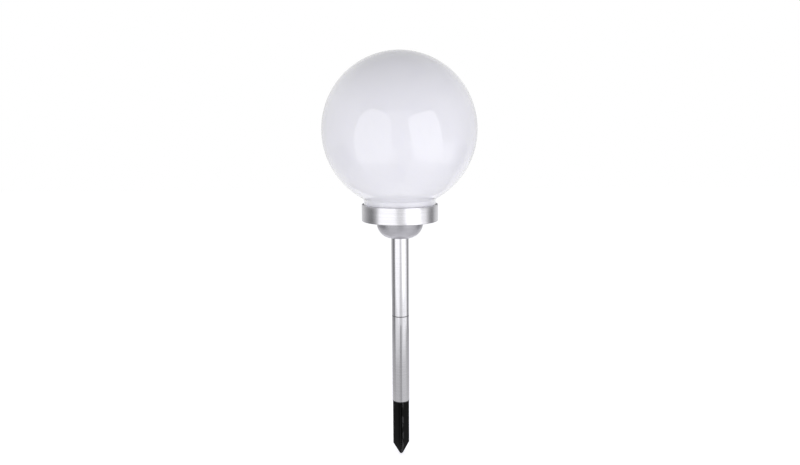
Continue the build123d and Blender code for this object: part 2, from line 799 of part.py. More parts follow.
def circuit_board():
    """Round board with a straight front edge beside the battery well."""
    board = disc(board_radius, board_z, BOARD_THICKNESS)
    cut = (2 * board_radius, board_radius, BOARD_THICKNESS + 2)
    board -= block(cut, board_z - 1, (0, board_front - board_radius / 2))
    for place in board_post_places:
        hole = SCREW_RADIUS + SCREW_HOLE_PLAY
        board -= disc(hole, board_z - 1, BOARD_THICKNESS + 2, place)
    return board


def board_screws():
    """Pan-head screws through the board into its posts."""
    return [screw(place, board_top, BOARD_SCREW_REACH) for place in board_post_places]


def board_components():
    """Charge-control chip, coil and capacitor under the board."""
    width, length, height = CHIP_SIZE
    x, y = CHIP_PLACE
    chip = block(CHIP_SIZE, board_z - height, CHIP_PLACE)
    for side in (1, -1):
        leg_x = x + side * (width + CHIP_LEG[0]) / 2
        for i in range(CHIP_LEG_ROW):
            leg_y = y + (i - (CHIP_LEG_ROW - 1) / 2) * CHIP_LEG_PITCH
            chip += block(CHIP_LEG, board_z - CHIP_LEG[2], (leg_x, leg_y))
    cheek_top = board_z - COIL_CHEEK
    coil = disc(COIL_RADIUS, cheek_top, COIL_CHEEK, COIL_PLACE)
    coil += disc(COIL_WAIST, board_z - COIL_HEIGHT, COIL_HEIGHT, COIL_PLACE)
    coil += disc(COIL_RADIUS, board_z - COIL_HEIGHT, COIL_CHEEK, COIL_PLACE)
    capacitor = disc(
        CAPACITOR_RADIUS, board_z - CAPACITOR_HEIGHT, CAPACITOR_HEIGHT, CAPACITOR_PLACE
    )
    return [chip, coil, capacitor]


def power_switch():
    """Slide switch on the housing's floor, open below for its knob."""
    case = block(SWITCH_SIZE, floor_top)
    pocket_length = KNOB_STEM[0] + SWITCH_TRAVEL + 2 * LOOSE
    pocket = (pocket_length, KNOB_STEM[1] + 2 * LOOSE, SWITCH_POCKET + 1)
    return at_switch(case - block(pocket, floor_top - 1))


def switch_knob():
    """Slider: a stem up into the switch and a ribbed pad for the finger."""
    pad_top = floor_z - KNOB_DROP
    pad_z = pad_top - KNOB_PAD[2]
    stem_top = floor_top + SWITCH_POCKET - LOOSE
    pad = block(KNOB_PAD, pad_z)
    pad = chamfer(pad.faces().sort_by(Axis.Z)[0].edges(), KNOB_PAD_EDGE)
    for i in range(KNOB_RIB_COUNT):
        x = (i - (KNOB_RIB_COUNT - 1) / 2) * KNOB_RIB_PITCH
        pad += block(KNOB_RIB, pad_z - KNOB_RIB[2], (x, 0))
    knob = pad + block((*KNOB_STEM, stem_top - pad_top), pad_top)
    return at_switch(Pos(-SWITCH_TRAVEL / 2, 0, 0) * knob)


def wires():
    """Panel, battery and switch leads to the board."""
    leads = []
    for side in (1, -1):
        x = side * WIRE_PITCH / 2
        leads.append(wire((x, WIRE_Y, panel_z), (x, WIRE_Y, board_top)))
        x, y, z = contact_tab_place(side)
        y += CONTACT_TAB / 2
        inboard = board_front + BATTERY_LEAD
        start = (x, y, z + CONTACT_TAB)
        leads.append(wire(start, (x, y, arch_z), (x, inboard, arch_z), (x, inboard, board_top)))
        x = side * WIRE_PITCH / 2
        start = (x, 0, floor_top + SWITCH_SIZE[2])
        end = (x, -SWITCH_LEAD, board_top)
        lead = wire(start, (x, 0, arch_z), (x, -SWITCH_LEAD, arch_z), end)
        leads.append(at_switch(lead))
    return leads


# ---- Write every sub-part -----------------------------------------------------

parts = {
    "ground_spike": ground_spike(),
    "lower_pole": pole(0),
    "pole_coupler": pole_coupler(),
    "upper_pole": pole(upper_pole_z),
    "base_cup": base_cup(),
    "cup_screws": cup_screws(),
    "head_housing": head_housing(),
    "collar_ring": collar_ring(),
    "globe": globe(),
    "neck_gasket": neck_gasket(),
    "lamp_deck": lamp_deck(),
    "deck_seal": deck_seal(),
    "deck_screws": deck_screws(),
    "solar_panel": solar_panel(),
    "leds": leds(),
    "battery": battery(),
    "positive_contact": positive_contact(),
    "negative_contact": negative_contact(),
    "battery_door": battery_door(),
    "circuit_board": circuit_board(),
    "board_screws": board_screws(),
    "board_components": board_components(),
    "power_switch": power_switch(),
    "switch_knob": switch_knob(),
    "wires": wires(),
}

os.makedirs("parts", exist_ok=True)
for name, shape in parts.items():
    solids = shape if isinstance(shape, list) else [shape]
    group = Compound(children=[solid for piece in solids for solid in piece.solids()])
    export_step(group, f"parts/{name}.step")
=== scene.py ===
"""Finishes, small fittings and studio for the garden globe light.

Metres, +Z up, front is -Y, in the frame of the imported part. Z 0 is the ground line.
"""

import json
import math

import bmesh
import bpy
from mathutils import Matrix, Vector


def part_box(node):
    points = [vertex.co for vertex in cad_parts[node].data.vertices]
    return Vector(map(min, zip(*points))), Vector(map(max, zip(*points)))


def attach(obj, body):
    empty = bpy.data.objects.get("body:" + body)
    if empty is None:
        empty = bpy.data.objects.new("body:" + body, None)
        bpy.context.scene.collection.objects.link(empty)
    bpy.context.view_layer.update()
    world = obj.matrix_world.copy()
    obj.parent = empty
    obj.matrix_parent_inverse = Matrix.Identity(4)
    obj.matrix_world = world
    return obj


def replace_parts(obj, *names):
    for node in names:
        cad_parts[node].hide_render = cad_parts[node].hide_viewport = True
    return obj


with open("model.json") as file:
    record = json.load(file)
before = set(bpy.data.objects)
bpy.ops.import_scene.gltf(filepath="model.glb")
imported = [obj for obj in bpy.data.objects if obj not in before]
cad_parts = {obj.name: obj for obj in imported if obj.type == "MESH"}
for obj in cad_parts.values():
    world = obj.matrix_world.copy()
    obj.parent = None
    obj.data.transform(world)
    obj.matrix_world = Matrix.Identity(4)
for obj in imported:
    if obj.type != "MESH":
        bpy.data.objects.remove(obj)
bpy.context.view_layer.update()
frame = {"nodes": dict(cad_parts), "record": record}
nodes = frame["nodes"]

MM = 0.001
UM = 0.000001


def spread(start, end, steps):
    """Values from start to end in even steps."""
    return [start + (end - start) * i / steps for i in range(steps + 1)]


def clamp(value):
    """The value, kept between 0 and 1."""
    return min(1.0, max(0.0, value))


def add_node(tree, kind, inputs=None, **settings):
    """New node: its settings, then its inputs, each a value or another node's output."""
    made = tree.nodes.new(kind)
    for key, value in settings.items():
        setattr(made, key, value)
    for socket, value in (inputs or {}).items():
        if isinstance(value, bpy.types.NodeSocket):
            tree.links.new(value, made.inputs[socket])
        else:
            made.inputs[socket].default_value = value
    return made


# ---- Finishes -----------------------------------------------------------------

# Colour sockets of a Mix node, by number because their names repeat
MIX_FIRST, MIX_SECOND, MIX_RESULT = 6, 7, 2


class Finish:
    """A material on one Principled shader, with helpers that wire its textures."""

    def __init__(self, name, colour, roughness, metallic=0.0):
        self.material = bpy.data.materials.new(name)
        self.material.use_nodes = True
        self.material.diffuse_color = (*colour, 1.0)
        self.tree = self.material.node_tree
        self.shader = self.tree.nodes["Principled BSDF"]
        self.bumps = None
        self.set("Base Color", (*colour, 1.0))
        self.set("Roughness", roughness)
        self.set("Metallic", metallic)

    def set(self, socket, value):
        """Gives the shader a number or colour that is the same all over the surface."""
        self.shader.inputs[socket].default_value = value

    def vary(self, socket, output):
        """Gives the shader a node's output, which differs over the surface."""
        self.tree.links.new(output, self.shader.inputs[socket])

    def node(self, kind, inputs=None, **settings):
        """New node in this material."""
        return add_node(self.tree, kind, inputs, **settings)

    def along(self, axis):
        """The part's own coordinate along X, Y or Z, in metres."""
        source = self.node("ShaderNodeTexCoord")
        split = self.node("ShaderNodeSeparateXYZ", {0: source.outputs["Object"]})
        return split.outputs[axis]

    def math(self, operation, first, second=0.0):
        """Result of an operation on numbers or outputs."""
        made = self.node("ShaderNodeMath", {0: first, 1: second}, operation=operation)
        return made.outputs[0]

    def away(self, axis, middle=0.0):
        """Distance from a middle along an axis, to either side."""
        return self.math("ABSOLUTE", self.math("SUBTRACT", self.along(axis), middle))

    def radius(self):
        """Distance from the part's upright axis."""
        squares = [self.math("MULTIPLY", self.along(axis), self.along(axis)) for axis in "XY"]
        return self.math("SQRT", self.math("ADD", *squares))

    def stripes(self, axis, pitch, width, start=0.0):
        """1 on lines of a width that repeat along an axis, and 0 between them."""
        shifted = self.math("SUBTRACT", self.along(axis), start - width / 2)
        return self.math("LESS_THAN", self.math("FLOORED_MODULO", shifted, pitch), width)

    def texture(self, kind, scale, stretch=(1.0, 1.0, 1.0), **settings):
        """Texture in the part's own coordinates, stretched so that its grain runs one way."""
        source = self.node("ShaderNodeTexCoord")
        mapping = self.node(
            "ShaderNodeMapping", {"Vector": source.outputs["Object"], "Scale": stretch})
        inputs = {"Scale": scale, "Vector": mapping.outputs["Vector"]}
        return self.node(kind, inputs, **settings)

    def noise(self, scale, detail=2.0, stretch=(1.0, 1.0, 1.0), distortion=0.0):
        """Cloudy pattern from 0 to 1: the scale is its number of lumps in a metre."""
        made = self.texture("ShaderNodeTexNoise", scale, stretch)
        made.inputs["Detail"].default_value = detail
        made.inputs["Distortion"].default_value = distortion
        return made.outputs["Fac"]

    def between(self, factor, low, high, start=0.0, end=1.0):
        """Number that goes from low to high as the factor goes from start to end."""
        made = self.node("ShaderNodeMapRange", {
            "Value": factor, "From Min": start, "From Max": end, "To Min": low, "To Max": high,
        })
        return made.outputs["Result"]

    def blend(self, factor, first, second):
        """Colour between two colours, each fixed or a node's output, by a factor."""
        first, second = [(*c, 1.0) if isinstance(c, tuple) else c for c in (first, second)]
        inputs = {"Factor": factor, MIX_FIRST: first, MIX_SECOND: second}
        return self.node("ShaderNodeMix", inputs, data_type="RGBA").outputs[MIX_RESULT]

    def bump(self, height, distance):
        """Adds a layer of relief, distance metres high where the height is 1."""
        inputs = {"Strength": 1.0, "Distance": distance, "Height": height}
        if self.bumps:
            inputs["Normal"] = self.bumps
        self.bumps = self.node("ShaderNodeBump", inputs).outputs["Normal"]
        self.vary("Normal", self.bumps)


def scaled(colour, factor):
    return tuple(min(1.0, factor * c) for c in colour)


def shifted(colour, amount):
    return tuple(c + amount for c in colour)


def opal_plastic():
    """Blown opal polymer: glossy skin, faint milkiness, very slightly uneven wall."""
    colour = (0.86, 0.86, 0.885)
    made = Finish("opal_plastic", colour, 0.08)
    made.set("Subsurface Weight", 0.15)
    made.set("Subsurface Radius", (6 * MM, 6 * MM, 8 * MM))
    made.set("Subsurface Scale", 1.0)
    made.set("IOR", 1.52)
    made.set("Coat Weight", 0.5)
    made.set("Coat Roughness", 0.03)
    cloud = made.noise(14.0, detail=3.0)
    made.vary("Base Color", made.blend(cloud, shifted(colour, -0.01), shifted(colour, 0.01)))
    made.vary("Roughness", made.between(made.noise(160.0), 0.03, 0.06))
    made.bump(made.noise(18.0, detail=1.0), 300 * UM)
    made.bump(made.noise(900.0), 4 * UM)
    return made.material


def brushed_steel(name, colour, roughness, grain, streak_depth):
    """Steel with streaks round the axis: grain is how fine they are."""
    made = Finish(name, colour, roughness, metallic=1.0)
    made.set("Anisotropic", 0.4)
    tangent = made.node("ShaderNodeTangent", direction_type="RADIAL", axis="Z")
    made.vary("Tangent", tangent.outputs["Tangent"])
    fine = made.noise(grain, detail=4.0, stretch=(0.02, 0.02, 1.0))
    coarse = made.noise(grain * 0.3, stretch=(0.01, 0.01, 1.0))
    streaks = made.math("ADD", made.between(fine, 0.0, 0.5), made.between(coarse, 0.0, 0.5))
    made.vary("Base Color", made.blend(streaks, scaled(colour, 0.82), scaled(colour, 1.14)))
    smears = made.noise(30.0)
    made.vary("Roughness", made.between(smears, roughness * 0.85, roughness * 1.2))
    made.bump(streaks, streak_depth)
    return made.material


def moulded(name, colour, roughness, contrast=0.12, gloss=0.5):
    """Moulded plastic: fine spark-eroded grain, faint flow marks, uneven sheen."""
    made = Finish(name, colour, roughness)
    made.set("Specular IOR Level", gloss)
    flow = made.noise(22.0, detail=3.0, stretch=(1.0, 1.0, 0.35), distortion=0.6)
    dark, pale = scaled(colour, 1 - contrast), scaled(colour, 1 + contrast)
    made.vary("Base Color", made.blend(flow, dark, pale))
    sheen = made.noise(60.0)
    made.vary("Roughness", made.between(sheen, roughness * 0.85, roughness * 1.15))
    made.bump(made.noise(1400.0, detail=3.0), 20 * UM)
    return made.material


def silver_paint():
    """Silver-painted plastic: metal flake in a satin skin, with painted shade near the ring."""
    colour = (0.47, 0.465, 0.49)
    ring_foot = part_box("collar_ring")[0].z
    made = Finish("cup_plastic", colour, 0.32, metallic=0.52)
    flake = made.noise(5200.0, detail=1.0)
    silver = made.blend(flake, scaled(colour, 0.93), scaled(colour, 1.07))
    patchy = made.between(made.noise(90.0, detail=3.0), -0.4 * MM, 0.4 * MM)
    height = made.math("ADD", made.along("Z"), patchy)
    # Painted shade: darker below the ring's overhang, and a painted shadow just under its edge
    ring_overhang_shade = made.between(height, 0.0, 1.0, ring_foot - 10.5 * MM, ring_foot - 6.5 * MM)
    ring_edge_shadow = made.between(height, 0.0, 1.0, ring_foot - 3.6 * MM, ring_foot - 2.0 * MM)
    overhang_shaded_paint = made.blend(ring_overhang_shade, silver, scaled(colour, 0.74))
    made.vary("Base Color", made.blend(ring_edge_shadow, overhang_shaded_paint, scaled(colour, 0.42)))
    made.vary("Roughness", made.between(made.noise(70.0), 0.29, 0.35))
    made.bump(made.noise(420.0), 10 * UM)
    return made.material


def spike_plastic():
    """Black moulded plastic, grey along the fins' edges as scuffs and painted highlight, with
    painted glints at the tip.
    """
    black, scuff_highlight_grey = (0.002, 0.002, 0.0022), (0.030, 0.030, 0.031)
    low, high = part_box("ground_spike")
    made = Finish("spike_plastic", black, 0.24)
    made.set("Specular IOR Level", 0.12)
    ragged_noise = made.noise(420.0, detail=6.0, stretch=(1.0, 1.0, 0.3), distortion=0.8)
    ragged = made.between(ragged_noise, -2.4 * MM, 2.0 * MM, 0.3, 0.7)
    reach = made.math("ADD", made.radius(), ragged)
    # The fins' edges are grey, partly as scuffed wear and partly as a painted highlight
    edge = made.between(reach, 0.0, 1.0, high.x - 0.975 * MM, high.x - 0.175 * MM)
    # Grey specks near the tip are painted glints, also made rougher and raised
    tip_glints = made.between(made.noise(900.0, detail=3.0), 0.0, 1.0, 0.56, 0.66)
    tip = made.between(made.along("Z"), 1.0, 0.0, low.z + 7.6 * MM, low.z + 23.6 * MM)
    wear_and_glints = made.math("MAXIMUM", edge, made.math("MULTIPLY", tip_glints, tip))
    made.vary("Base Color", made.blend(wear_and_glints, black, scuff_highlight_grey))
    made.vary("Roughness", made.between(wear_and_glints, 0.20, 0.5))
    made.bump(made.noise(1400.0, detail=3.0), 20 * UM)
    made.bump(wear_and_glints, 50 * UM)
    return made.material


def rubber(name, colour):
    """Matt rubber with a dusty bloom."""
    made = Finish(name, colour, 0.75)
    bloom = made.noise(300.0, detail=4.0)
    made.vary("Base Color", made.blend(bloom, colour, shifted(colour, 0.03)))
    made.bump(made.noise(2500.0), 30 * UM)
    return made.material


def plated(name, colour, roughness, grain):
    """Plated small metal with a slightly uneven bright finish."""
    made = Finish(name, colour, roughness, metallic=1.0)
    stain = made.noise(grain, detail=3.0)
    made.vary("Base Color", made.blend(stain, scaled(colour, 0.82), scaled(colour, 1.1)))
    sheen = made.noise(grain * 2)
    made.vary("Roughness", made.between(sheen, roughness * 0.7, roughness * 1.3))
    made.bump(made.noise(grain * 6), 6 * UM)
    return made.material


def solar_cells():
    """Dark blue cell strips with silver fingers and busbars, cast in clear resin."""
    low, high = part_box("solar_panel")
    middle = (low.y + high.y) / 2
    strip = 9.0 * MM
    made = Finish("solar_cells", (0.012, 0.018, 0.06), 0.12)
    made.set("Coat Weight", 1.0)
    made.set("Coat Roughness", 0.04)
    crystals = made.texture("ShaderNodeTexVoronoi", 420.0, stretch=(1.0, 0.5, 1.0))
    cell = made.blend(crystals.outputs["Color"], (0.006, 0.010, 0.045), (0.016, 0.026, 0.095))
    fingers = made.stripes("X", 1.0 * MM, 0.09 * MM)
    busbars = made.stripes("Y", strip, 0.7 * MM, middle - 1.5 * strip)
    gaps = made.stripes("Y", strip, 0.5 * MM, middle)
    sides = made.math("GREATER_THAN", made.away("X"), high.x - 1.75 * MM)
    ends = made.math("GREATER_THAN", made.away("Y", middle), high.y - middle - 2.0 * MM)
    printed = made.blend(made.math("MAXIMUM", fingers, busbars), cell, (0.45, 0.46, 0.48))
    parted = made.blend(gaps, printed, (0.10, 0.105, 0.11))
    border = made.math("MAXIMUM", sides, ends)
    made.vary("Base Color", made.blend(border, parted, (0.035, 0.037, 0.04)))
    made.bump(made.noise(120.0), 20 * UM)
    return made.material


def battery_sleeve():
    """Shrink sleeve in two plain bands, with bare ends."""
    low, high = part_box("battery")
    made = Finish("battery_sleeve", (0.05, 0.30, 0.13), 0.22)
    made.set("Coat Weight", 0.5)
    band = made.math("GREATER_THAN", made.along("X"), high.x - 15.45 * MM)
    sleeve = made.blend(band, (0.04, 0.27, 0.11), (0.62, 0.63, 0.62))
    foot = made.math("LESS_THAN", made.along("X"), low.x + 0.35 * MM)
    cap = made.math("GREATER_THAN", made.along("X"), high.x - 1.45 * MM)
    bare = made.math("MAXIMUM", foot, cap)
    made.vary("Base Color", made.blend(bare, sleeve, (0.60, 0.59, 0.57)))
    made.vary("Metallic", bare)
    made.bump(made.noise(260.0, stretch=(0.3, 1.0, 1.0)), 30 * UM)
    return made.material


def circuit_laminate():
    """Green solder mask over woven laminate and raised tracks."""
    made = Finish("board_laminate", (0.012, 0.11, 0.04), 0.3)
    weave = made.noise(2200.0, detail=1.0, stretch=(1.0, 0.2, 1.0))
    cells = made.texture("ShaderNodeTexVoronoi", 130.0, stretch=(1.0, 1.0, 0.0),
                         feature="DISTANCE_TO_EDGE", distance="MANHATTAN")
    track = made.math("LESS_THAN", cells.outputs["Distance"], 0.06)
    mask = made.blend(track, (0.010, 0.095, 0.035), (0.020, 0.165, 0.055))
    made.vary("Base Color", made.blend(weave, mask, (0.02, 0.13, 0.05)))
    made.bump(track, 40 * UM)
    return made.material


def wire_sleeve():
    """Insulation of paired leads: red on one side of the light, black on the other."""
    made = Finish("wire_sleeve", (0.45, 0.02, 0.02), 0.3)
    side = made.math("GREATER_THAN", made.along("X"), 0.0)
    sleeve = made.blend(side, (0.015, 0.015, 0.017), (0.42, 0.02, 0.02))
    shade = made.between(made.noise(700.0), 0.0, 0.25)
    made.vary("Base Color", made.blend(shade, sleeve, (0.10, 0.05, 0.05)))
    made.bump(made.noise(1500.0, detail=1.0), 10 * UM)
    return made.material


def lamp_resin():
    """Clear cast resin of the lamps, faintly milky."""
    made = Finish("led_resin", (0.97, 0.96, 0.93), 0.04)
    made.set("Transmission Weight", 0.95)
    made.set("IOR", 1.53)
    made.vary("Roughness", made.between(made.noise(300.0), 0.03, 0.08))
    made.bump(made.noise(500.0, detail=1.0), 10 * UM)
    return made.material


def lamp_phosphor():
    """Yellow phosphor on the lamps' dies."""
    made = Finish("lamp_phosphor", (0.86, 0.68, 0.06), 0.5)
    made.bump(made.noise(4000.0), 20 * UM)
    return made.material


STEEL = (0.60, 0.595, 0.625)
finishes = {
    "opal_plastic": opal_plastic(),
    "ring_steel": brushed_steel("ring_steel", scaled(STEEL, 0.96), 0.2, 2600.0, 4 * UM),
    "pole_steel": brushed_steel("pole_steel", STEEL, 0.15, 2200.0, 1 * UM),
    "cup_plastic": silver_paint(),
    "housing_plastic": moulded("housing_plastic", (0.36, 0.36, 0.37), 0.5),
    "white_plastic": moulded("white_plastic", (0.85, 0.85, 0.84), 0.38, contrast=0.03),
    "black_plastic": moulded("black_plastic", (0.006, 0.006, 0.0065), 0.34, gloss=0.3),
    "seal_rubber": rubber("seal_rubber", (0.03, 0.03, 0.03)),
    "screw_steel": plated("screw_steel", (0.58, 0.58, 0.60), 0.28, 500.0),
    "solar_cells": solar_cells(),
    "led_resin": lamp_resin(),
    "battery_sleeve": battery_sleeve(),
    "contact_nickel": plated("contact_nickel", (0.62, 0.60, 0.56), 0.25, 350.0),
    "board_laminate": circuit_laminate(),
    "component_resin": moulded("component_resin", (0.03, 0.03, 0.03), 0.45),
    "wire_sleeve": wire_sleeve(),
}

for part in frame["record"]["subparts"]:
    for material_slot in nodes[part["node"]].material_slots:
        material_slot.material = finishes[part["material_slot"]]

nodes["ground_spike"].material_slots[0].material = spike_plastic()

# ---- Fittings -----------------------------------------------------------------

SHARP_ANGLE = math.radians(35)
WELD_DISTANCE = 1 * UM
GROUP_WIDTH = 5 * MM


def footprints(node):
    """Middles, seen from above, of the separate groups of a node's lowest points."""
    points = [vertex.co for vertex in nodes[node].data.vertices]
    foot = min(point.z for point in points)
    groups = []
    for point in points:
        if point.z > foot + 10 * UM:
            continue
        near = [group for group in groups if (point - group[0]).length < GROUP_WIDTH]
        if near:
            near[0].append(point)
        else:
            groups.append([point])
    middles = []
    for group in groups:
        across, deep = [point.x for point in group], [point.y for point in group]
        middles.append(((min(across) + max(across)) / 2, (min(deep) + max(deep)) / 2))
    return sorted(middles)


def lathe(profile, segments, centre=(0.0, 0.0), shape=None, closed=False):
    """Points and faces of a profile of (radius, z) turned about an upright axis.

    A shape function may move each point: it takes radius, z, angle and the profile's row,
    and gives the new radius and z.
    """
    points, faces = [], []
    for row, (radius, z) in enumerate(profile):
        for column in range(segments):
            angle = 2 * math.pi * column / segments
            r, h = shape(radius, z, angle, row) if shape else (radius, z)
            x = centre[0] + r * math.cos(angle)
            y = centre[1] + r * math.sin(angle)
            points.append((x, y, h))
    rows = len(profile)
    for row in range(rows if closed else rows - 1):
        for column in range(segments):
            after = (column + 1) % segments
            low, high = row * segments, (row + 1) % rows * segments
            faces.append((low + column, low + after, high + after, high + column))
    return points, faces


def joined(name, shells):
    """One mesh from several lots of points and faces, smooth but for its sharp edges."""
    points, faces = [], []
    for shell_points, shell_faces in shells:
        start = len(points)
        points += shell_points
        faces += [tuple(start + i for i in face) for face in shell_faces]
    mesh = bpy.data.meshes.new(name)
    mesh.from_pydata(points, [], faces)
    made = bmesh.new()
    made.from_mesh(mesh)
    bmesh.ops.remove_doubles(made, verts=made.verts, dist=WELD_DISTANCE)
    bmesh.ops.recalc_face_normals(made, faces=made.faces)
    for face in made.faces:
        face.smooth = True
    for edge in made.edges:
        edge.smooth = len(edge.link_faces) < 2 or edge.calc_face_angle(0.0) < SHARP_ANGLE
    made.to_mesh(mesh)
    made.free()
    return mesh


def head_piece(name, shells, slot, material=None):
    """One piece that rides on the head, from its shells, in the finish of a slot."""
    mesh = joined(name, shells)
    mesh.materials.append(material or finishes[slot])
    piece = bpy.data.objects.new(name, mesh)
    bpy.context.scene.collection.objects.link(piece)
    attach(piece, "head")
    return piece


def rounded(corner, start, end, radius, steps=6):
    """Arc of profile points about a corner's centre, between two angles in degrees."""
    turns = [math.radians(turn) for turn in spread(start, end, steps)]
    return [
        (corner[0] + radius * math.cos(turn), corner[1] + radius * math.sin(turn))
        for turn in turns
    ]


def raised(profile, base):
    """Profile in metres from (radius, height) in millimetres above a base."""
    return [(radius * MM, base + height * MM) for radius, height in profile]


SCREW_RADIUS = 1.25 * MM
THREAD_DEPTH = 0.28 * MM
THREAD_PITCH = 0.9 * MM
THREAD_ROWS = 8  # rows of points for each turn of the thread
POINT_RADIUS = 0.5 * MM
POINT_LENGTH = 1.2 * MM
POINT_TAPER = 0.35 * MM
HEAD_RADIUS = 2.6 * MM
HEAD_HEIGHT = 1.5 * MM
HEAD_EDGE = 0.15 * MM
HEAD_SIDE = 0.55 * MM  # upright side of a pan head, below its crown
HEAD_ROWS = 22
RECESS_TURN = 0.4  # radians
RECESS_DEPTH = 0.95 * MM
RECESS_HALF_WIDTH = 0.32 * MM
RECESS_ARM = 1.35 * MM
RECESS_SIDE_SLOPE = 0.12 * MM
RECESS_END_SLOPE = 0.45 * MM


def thread_radius(height, angle):
    """Radius of a rolled thread at a height above the screw's tip."""
    phase = height / THREAD_PITCH - angle / (2 * math.pi)
    crest = max(0.0, 1 - 3 * abs(phase % 1 - 0.5))
    taper = min(1.0, height / POINT_LENGTH)
    root = SCREW_RADIUS - THREAD_DEPTH - POINT_TAPER * (1 - taper)
    return root + THREAD_DEPTH * crest * taper


def recess_depth(radius, angle):
    """Depth of the cross recess at a place on the screw's head."""
    x = radius * math.cos(angle + RECESS_TURN)
    y = radius * math.sin(angle + RECESS_TURN)
    near, far = sorted((abs(x), abs(y)))
    side = clamp((RECESS_HALF_WIDTH - near) / RECESS_SIDE_SLOPE + 0.5)
    end = clamp((RECESS_ARM - far) / RECESS_END_SLOPE)
    return RECESS_DEPTH * side * end


def screw(place, tip_z, seat_z, countersunk):
    """Shell of a screw with a rolled thread, and a cross recess in its head.

    The head is countersunk, or else a pan head that stands on the seat.
    """
    neck_z = seat_z - (HEAD_HEIGHT if countersunk else 0.0)
    thread_rows = max(THREAD_ROWS, int(THREAD_ROWS * (neck_z - tip_z) / THREAD_PITCH))
    point = [(0.0, tip_z), (POINT_RADIUS, tip_z)]
    thread = [(SCREW_RADIUS, z) for z in spread(tip_z, neck_z, thread_rows)[1:-1]]
    if countersunk:
        rim_z, crown = seat_z, 0.0
        side = [(HEAD_RADIUS, seat_z - HEAD_EDGE), (HEAD_RADIUS, seat_z - 20 * UM)]
    else:
        rim_z, crown = seat_z + HEAD_SIDE, HEAD_HEIGHT - HEAD_SIDE
        side = [(HEAD_RADIUS - HEAD_EDGE, seat_z), (HEAD_RADIUS, seat_z + HEAD_EDGE),
                (HEAD_RADIUS, rim_z)]
    below = point + thread + [(SCREW_RADIUS, neck_z)] + side
    top = []
    for radius in spread(HEAD_RADIUS, 0.0, HEAD_ROWS)[1:]:
        dome = crown * math.sqrt(max(0.0, 1 - (radius / HEAD_RADIUS) ** 2))
        top.append((radius, rim_z + dome))

    def shape(radius, z, angle, row):
        if len(point) <= row < len(point + thread):
            return thread_radius(z - tip_z, angle), z
        if row >= len(below):
            return radius, z - recess_depth(radius, angle)
        return radius, z

    return lathe(below + top, 72, place, shape)


def screws(name, node, countersunk=False):
    """Screws in one piece, each as long as the node's and in its place."""
    low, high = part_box(node)
    seat_z = high.z - (0.0 if countersunk else HEAD_HEIGHT)
    shells = [screw(place, low.z, seat_z, countersunk) for place in footprints(node)]
    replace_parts(head_piece(name, shells, "screw_steel"), node)


def collar_ring():
    """Spun ring with rolled edges, a lip over the housing and a hem under it."""
    low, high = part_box("collar_ring")
    radius, bottom, top = high.x, low.z, high.z
    wall, roll = 0.5 * MM, 0.6 * MM
    lip, hem = 47.4 * MM, 48.4 * MM
    profile = rounded((radius - roll, bottom + roll), -90, 0, roll, 8)
    profile += [(radius, z) for z in spread(bottom, top, 5)[1:-1]]
    profile += rounded((radius - roll, top - roll), 0, 90, roll, 8)
    profile += rounded((lip + wall / 2, top - wall / 2), 90, 270, wall / 2)
    profile += [(radius - wall, top - wall), (radius - wall, bottom + wall)]
    profile += rounded((hem + wall / 2, bottom + wall / 2), 90, 270, wall / 2)
    shells = [lathe(profile, 256, closed=True)]
    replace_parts(head_piece("collar_ring_rolled", shells, "ring_steel"), "collar_ring")


def bar(place, half, low, high, bevel=0.06 * MM):
    """Square bar with broken edges, standing between two heights."""
    flat = half - bevel
    ring = [(half, flat), (flat, half), (-flat, half), (-half, flat),
            (-half, -flat), (-flat, -half), (flat, -half), (half, -flat)]
    sides = len(ring)
    points = [(place[0] + x, place[1] + y, z) for z in (low, high) for x, y in ring]
    faces = [(i, (i + 1) % sides, sides + (i + 1) % sides, sides + i) for i in range(sides)]
    faces += [tuple(range(sides)), tuple(range(sides, 2 * sides))]
    return points, faces


def lamps():
    """Flat-topped lamps: clear lens, stamped frame with its dish, and a yellow die."""
    low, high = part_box("leds")
    base = low.z + 2.5 * MM
    radius, edge = 2.5 * MM, 0.5 * MM
    lens = raised([(0.0, 0.0), (2.8, 0.0), (2.9, 0.1), (2.9, 0.9), (2.8, 1.0), (2.5, 1.0)], base)
    lens += rounded((radius - edge, high.z - edge), 0, 90, edge)
    lens += raised([(1.2, -0.25), (0.0, -0.45)], high.z)
    dish_z = base + 3.6 * MM
    dish = raised([(0.0, 0.0), (0.75, 0.0), (1.15, 0.9), (1.35, 0.9), (1.0, -0.3), (0.0, -0.3)],
                  dish_z)
    die = raised([(0.0, 0.05), (0.7, 0.05), (0.85, 0.4), (0.5, 0.62), (0.0, 0.68)], dish_z)
    lead_half, lead_offset, lead_top = 0.25 * MM, 1.25 * MM, dish_z - 0.35 * MM
    lenses, frames, dies = [], [], []
    for x, y in footprints("leds"):
        lenses.append(lathe(lens, 48, (x, y)))
        frames.append(lathe(dish, 32, (x, y)))
        for lead_y in (y + lead_offset, y - lead_offset):
            frames.append(bar((x, lead_y), lead_half, low.z, lead_top))
        dies.append(lathe(die, 24, (x, y)))
    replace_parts(head_piece("lamp_lenses", lenses, "led_resin"), "leds")
    head_piece("lamp_frames", frames, "contact_nickel")
    head_piece("lamp_dies", dies, "led_resin", lamp_phosphor())


screws("deck_screws_cross", "deck_screws")
screws("board_screws_cross", "board_screws")
screws("cup_screws_cross", "cup_screws", countersunk=True)
collar_ring()
lamps()

# ---- Studio -------------------------------------------------------------------
#
# Azimuths are degrees from the front, counted towards the right. Distances are from the
# light's axis, and a level of 1 shows as white.

FLOOR_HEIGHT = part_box("ground_spike")[0].z - 0.1 * MM
FLOOR_SIZE = 8.0
BOX_TOP = 0.80
WINDOW_DISTANCE = 0.43
GAP_DISTANCE = 0.5
WALL_DISTANCE = 0.6
CEILING_HEIGHT = 1.0

